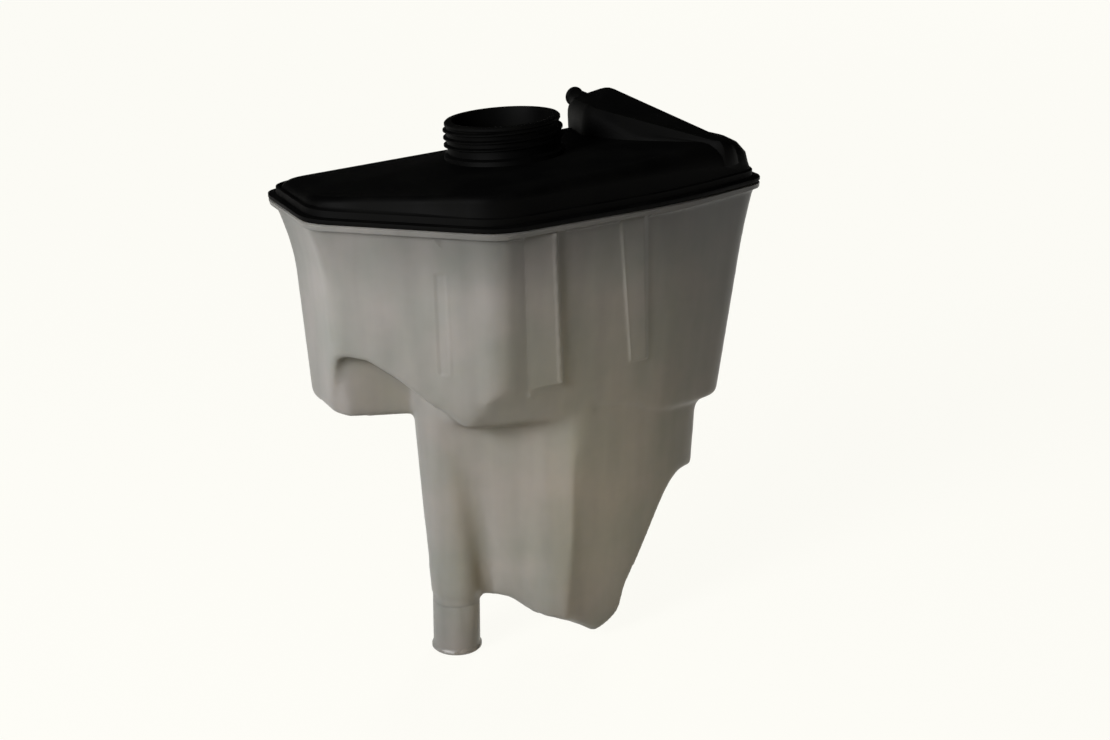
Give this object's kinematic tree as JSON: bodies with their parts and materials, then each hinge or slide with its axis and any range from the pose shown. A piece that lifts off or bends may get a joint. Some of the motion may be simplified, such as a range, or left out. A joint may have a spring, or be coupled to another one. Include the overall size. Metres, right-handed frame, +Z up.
{
  "type": "coolant expansion tank",
  "caption": "Two-shell plastic coolant expansion tank with a threaded filler neck, a vent nipple, and a deep outlet leg that ends in a hose spigot.",
  "frame": {"origin": "centre of the outlet's open end", "axes": "+Z up along the outlet and square to the weld seam, +X along the front left side towards the front corner, +Y towards the back"},
  "size_m": [0.2462, 0.2231, 0.2848],
  "materials": {
    "milky_shell": "natural translucent polypropylene, satin",
    "black_shell": "moulded black polypropylene, satin"
  },
  "bodies": {
    "root": {"lower_shell": "milky_shell", "upper_shell": "black_shell"}
  },
  "joints": []
}
